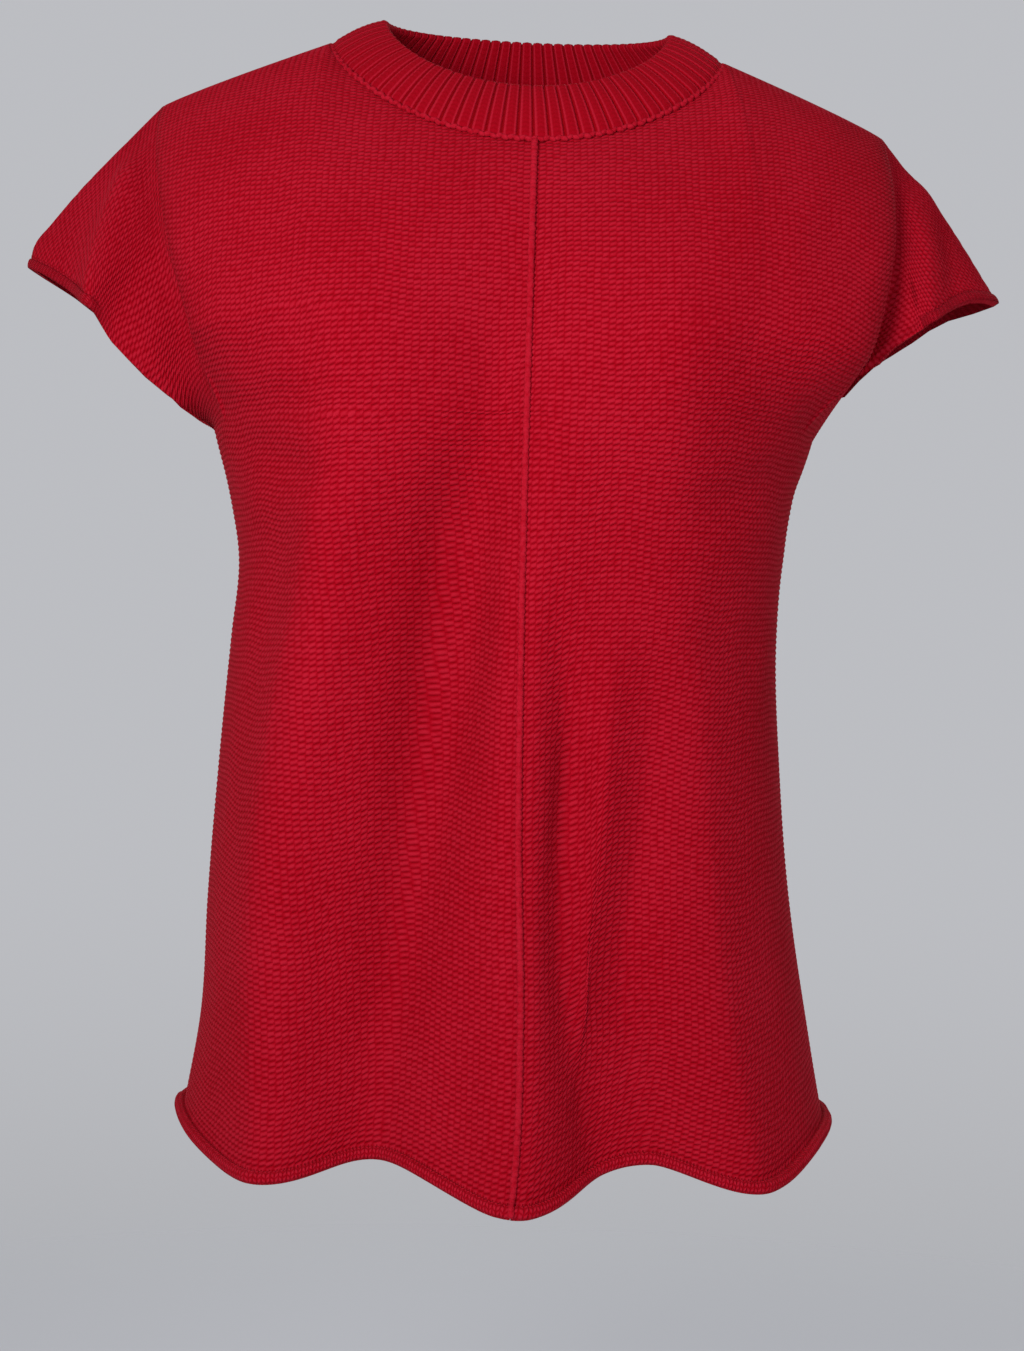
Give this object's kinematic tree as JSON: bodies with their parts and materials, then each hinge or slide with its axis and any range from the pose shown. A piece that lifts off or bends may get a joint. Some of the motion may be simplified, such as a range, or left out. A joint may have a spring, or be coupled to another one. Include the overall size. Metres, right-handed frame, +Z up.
{
  "type": "cap-sleeve knit top",
  "caption": "Chunky red knit top in its worn form, hollow, with cap sleeves cut in one with the body, a folded ribbed neckband and raised linked seams at the neck and down the front.",
  "frame": {"origin": "on the shoulder line, level with the points where the neckband meets the shoulder seams and half way between them", "axes": "+Z up from hem to neck, +Y to the garment's back so that the front faces -Y, +X to the wearer's left"},
  "size_m": [0.5079, 0.2688, 0.5962],
  "materials": {
    "knit": "matte chunky knit, purl side out",
    "rib": "matte ribbed knit, folded double",
    "linked_seam": "matte raised chain stitches"
  },
  "bodies": {
    "root": {"front_right": "knit", "front_left": "knit", "back": "knit", "neckband": "rib", "neck_seam_ridge": "linked_seam", "front_seam_ridge": "linked_seam"}
  },
  "joints": []
}
